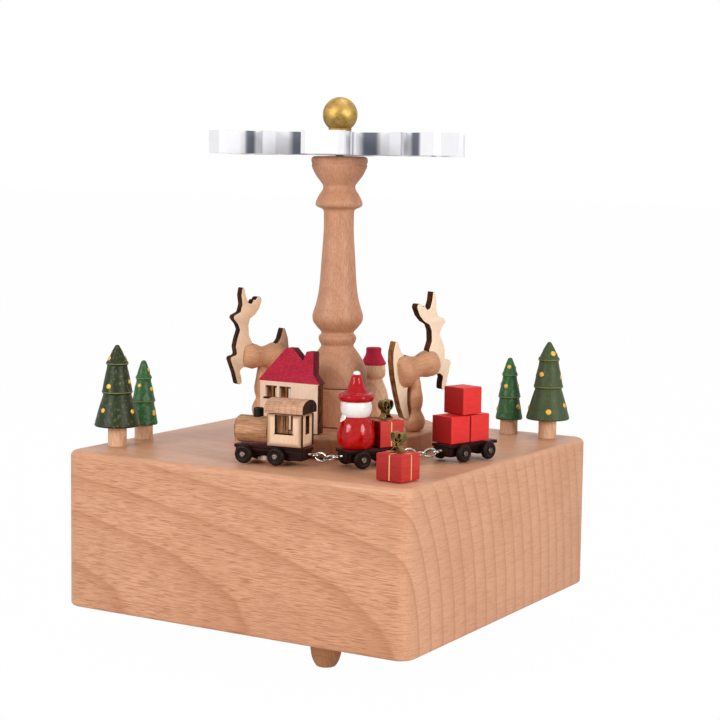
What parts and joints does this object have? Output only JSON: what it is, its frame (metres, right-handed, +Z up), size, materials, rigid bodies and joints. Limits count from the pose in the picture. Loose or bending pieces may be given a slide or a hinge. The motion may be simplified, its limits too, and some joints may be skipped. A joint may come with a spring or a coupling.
{
  "type": "wooden music box",
  "caption": "Hand-wound wooden music box: a hollow beech base holds the movement, which turns a snowflake on a column and pulls a toy train round the lid by magnet.",
  "frame": {"origin": "on the ground under the centre of the square box, between the three feet", "axes": "+Z up along the column; the box's front, with the gift at its right corner, faces -Y and its right side faces +X"},
  "size_m": [0.12, 0.12, 0.1685],
  "materials": {
    "beech": "satin",
    "ply": "matt",
    "green_paint": "satin",
    "red_paint": "satin",
    "dark_wood": "satin",
    "black_paint": "satin",
    "white_paint": "satin",
    "gold_paint": "metallic",
    "steel": "satin",
    "brass": "satin",
    "antique_brass": "antique",
    "nickel": "satin"
  },
  "bodies": {
    "box": {"base_block": "beech", "bottom_plate": "ply", "plate_screw_1": "steel", "plate_screw_2": "steel", "foot_peg_1": "beech", "foot_peg_2": "beech", "foot_peg_3": "beech", "stage_disc": "beech", "pedestal": "beech", "column": "beech", "house": "ply", "deer_left_post": "beech", "deer_left_body": "beech", "deer_left_front": "ply", "deer_left_rear": "ply", "deer_right_post": "beech", "deer_right_body": "beech", "deer_right_front": "ply", "deer_right_rear": "ply", "peg_figure": "beech", "tree_big_left": "green_paint", "tree_small_left": "green_paint", "tree_small_back": "green_paint", "tree_big_back": "green_paint", "gift_front": "red_paint", "gift_front_bow": "antique_brass", "bedplate": "brass", "comb": "steel"},
    "barrel": {"spring_barrel": "brass"},
    "key": {"winding_key": "steel"},
    "cylinder": {"pin_cylinder": "brass"},
    "governor": {"governor_fan": "brass"},
    "magnet_arm": {"magnet_arm": "brass", "drive_magnet": "nickel"},
    "rotor": {"rotor": "white_paint", "rotor_ball": "gold_paint", "rotor_shaft": "steel"},
    "loco": {"loco_chassis": "dark_wood", "loco_boiler": "beech", "loco_cab": "ply", "loco_roof": "beech", "loco_chimney": "black_paint", "loco_magnet": "nickel", "chain_1": "steel"},
    "wagon_1": {"wagon_1_chassis": "dark_wood", "wagon_figure": "red_paint", "wagon_gift": "red_paint", "wagon_gift_bow": "antique_brass", "chain_2": "steel"},
    "wagon_2": {"wagon_2_chassis": "dark_wood", "wagon_block_1": "red_paint", "wagon_block_2": "red_paint", "wagon_block_3": "red_paint"},
    "loco_front_wheels": {"loco_wheels_1": "dark_wood"},
    "loco_rear_wheels": {"loco_wheels_2": "dark_wood"},
    "wagon_1_front_wheels": {"wagon_1_wheels_1": "dark_wood"},
    "wagon_1_rear_wheels": {"wagon_1_wheels_2": "dark_wood"},
    "wagon_2_front_wheels": {"wagon_2_wheels_1": "dark_wood"},
    "wagon_2_rear_wheels": {"wagon_2_wheels_2": "dark_wood"}
  },
  "joints": [
    {"name": "barrel_turn", "type": "hinge", "parent": "box", "child": "barrel", "pos_m": [-0.024, 0, 0.0266], "axis": [0, 0, 1], "continuous": true},
    {"name": "winding_key_turn", "type": "hinge", "parent": "box", "child": "key", "pos_m": [-0.024, 0, 0.008], "axis": [0, 0, -1], "range_deg": [0, 1260]},
    {"name": "pin_cylinder_turn", "type": "hinge", "parent": "box", "child": "cylinder", "pos_m": [-0.024, 0.025, 0.03745], "axis": [0, 1, 0], "continuous": true},
    {"name": "governor_spin", "type": "hinge", "parent": "box", "child": "governor", "pos_m": [-0.036, 0.0265, 0.028], "axis": [0, 0, 1], "continuous": true},
    {"name": "magnet_arm_turn", "type": "hinge", "parent": "box", "child": "magnet_arm", "pos_m": [0, 0, 0.03], "axis": [0, 0, 1], "continuous": true},
    {"name": "rotor_spin", "type": "hinge", "parent": "box", "child": "rotor", "pos_m": [0, 0, 0.15], "axis": [0, 0, 1], "continuous": true},
    {"name": "train_run", "type": "hinge", "parent": "box", "child": "loco", "pos_m": [0, 0, 0.065], "axis": [0, 0, 1], "continuous": true},
    {"name": "wagon_1_swing", "type": "hinge", "parent": "loco", "child": "wagon_1", "pos_m": [0.02538, -0.04207, 0.0646], "axis": [0, 0, 1], "range_deg": [-2, 8]},
    {"name": "wagon_2_swing", "type": "hinge", "parent": "wagon_1", "child": "wagon_2", "pos_m": [0.04446, -0.01647, 0.0646], "axis": [0, 0, 1], "range_deg": [-3, 10]},
    {"name": "loco_front_wheels_spin", "type": "hinge", "parent": "loco", "child": "loco_front_wheels", "pos_m": [-0.00195, -0.0452, 0.06395], "axis": [0.1253, -0.9921, 0], "continuous": true},
    {"name": "loco_rear_wheels_spin", "type": "hinge", "parent": "loco", "child": "loco_rear_wheels", "pos_m": [0.00847, -0.04389, 0.06395], "axis": [0.1253, -0.9921, 0], "continuous": true},
    {"name": "wagon_1_front_wheels_spin", "type": "hinge", "parent": "wagon_1", "child": "wagon_1_front_wheels", "pos_m": [0.02851, -0.03661, 0.06395], "axis": [0.8669, -0.4985, 0], "continuous": true},
    {"name": "wagon_1_rear_wheels_spin", "type": "hinge", "parent": "wagon_1", "child": "wagon_1_rear_wheels", "pos_m": [0.0339, -0.02725, 0.06395], "axis": [0.8669, -0.4985, 0], "continuous": true},
    {"name": "wagon_2_front_wheels_spin", "type": "hinge", "parent": "wagon_2", "child": "wagon_2_front_wheels", "pos_m": [0.04641, -0.00996, 0.06395], "axis": [0.9578, -0.2874, 0], "continuous": true},
    {"name": "wagon_2_rear_wheels_spin", "type": "hinge", "parent": "wagon_2", "child": "wagon_2_rear_wheels", "pos_m": [0.04946, 0.00019, 0.06395], "axis": [0.9578, -0.2874, 0], "continuous": true}
  ],
  "couplings": [
    {"joint": "pin_cylinder_turn", "follows": "barrel_turn", "ratio": 3},
    {"joint": "governor_spin", "follows": "barrel_turn", "ratio": 24},
    {"joint": "magnet_arm_turn", "follows": "barrel_turn", "ratio": -1},
    {"joint": "rotor_spin", "follows": "barrel_turn", "ratio": -3.8},
    {"joint": "train_run", "follows": "barrel_turn", "ratio": -1},
    {"joint": "loco_front_wheels_spin", "follows": "barrel_turn", "ratio": 16.83},
    {"joint": "loco_rear_wheels_spin", "follows": "barrel_turn", "ratio": 16.83},
    {"joint": "wagon_1_front_wheels_spin", "follows": "barrel_turn", "ratio": 16.214},
    {"joint": "wagon_1_rear_wheels_spin", "follows": "barrel_turn", "ratio": 16.214},
    {"joint": "wagon_2_front_wheels_spin", "follows": "barrel_turn", "ratio": 17.855},
    {"joint": "wagon_2_rear_wheels_spin", "follows": "barrel_turn", "ratio": 17.855}
  ]
}
